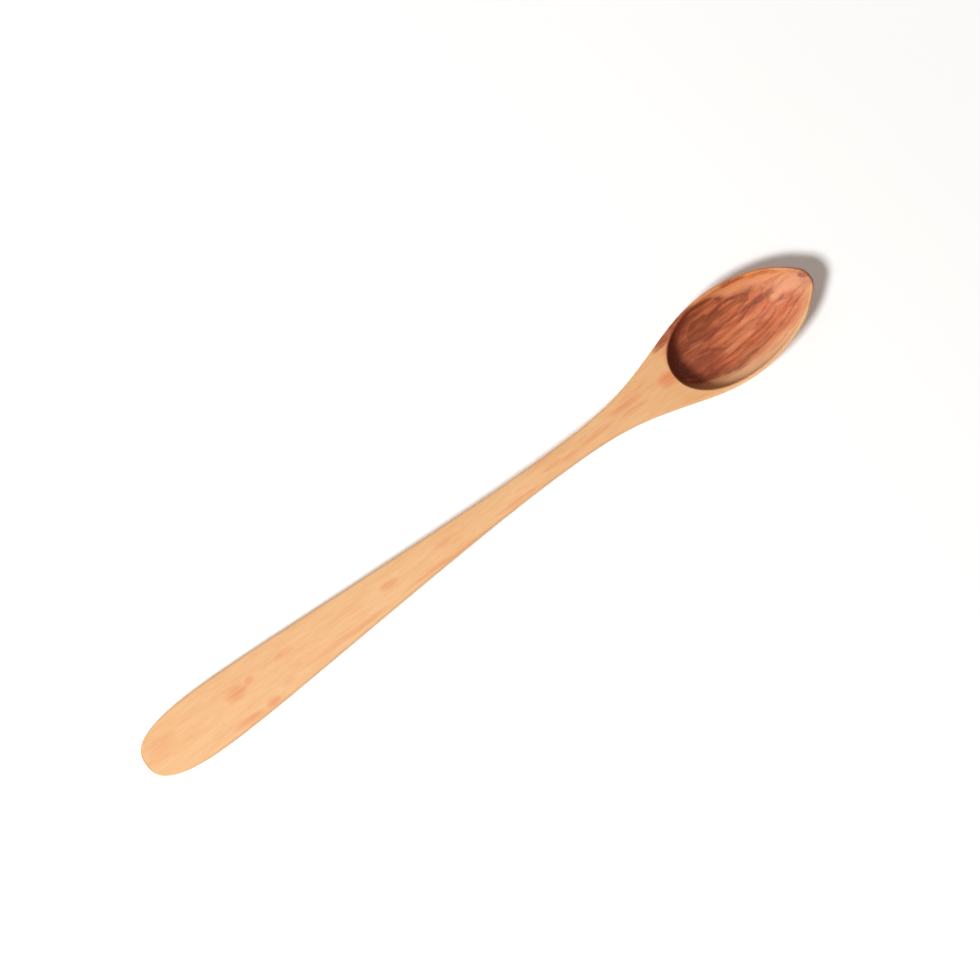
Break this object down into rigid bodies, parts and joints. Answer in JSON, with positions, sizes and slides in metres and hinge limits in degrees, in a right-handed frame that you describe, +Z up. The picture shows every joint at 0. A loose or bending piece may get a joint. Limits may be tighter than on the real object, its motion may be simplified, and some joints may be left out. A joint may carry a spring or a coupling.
{
  "type": "wooden spoon",
  "caption": "Long wooden tasting spoon with a slender handle, a round-ended grip and a deep egg-shaped bowl, carved from one piece of fruit wood.",
  "frame": {"origin": "under the middle of the spoon's length and width, on the table plane", "axes": "+X along the spoon towards the tip of the bowl, +Z up out of the hollow, +Y to the side"},
  "size_m": [0.3, 0.0358, 0.0126],
  "materials": {
    "olive_wood": "oiled satin, pale sapwood over red-brown heartwood"
  },
  "bodies": {
    "root": {"spoon": "olive_wood"}
  },
  "joints": []
}
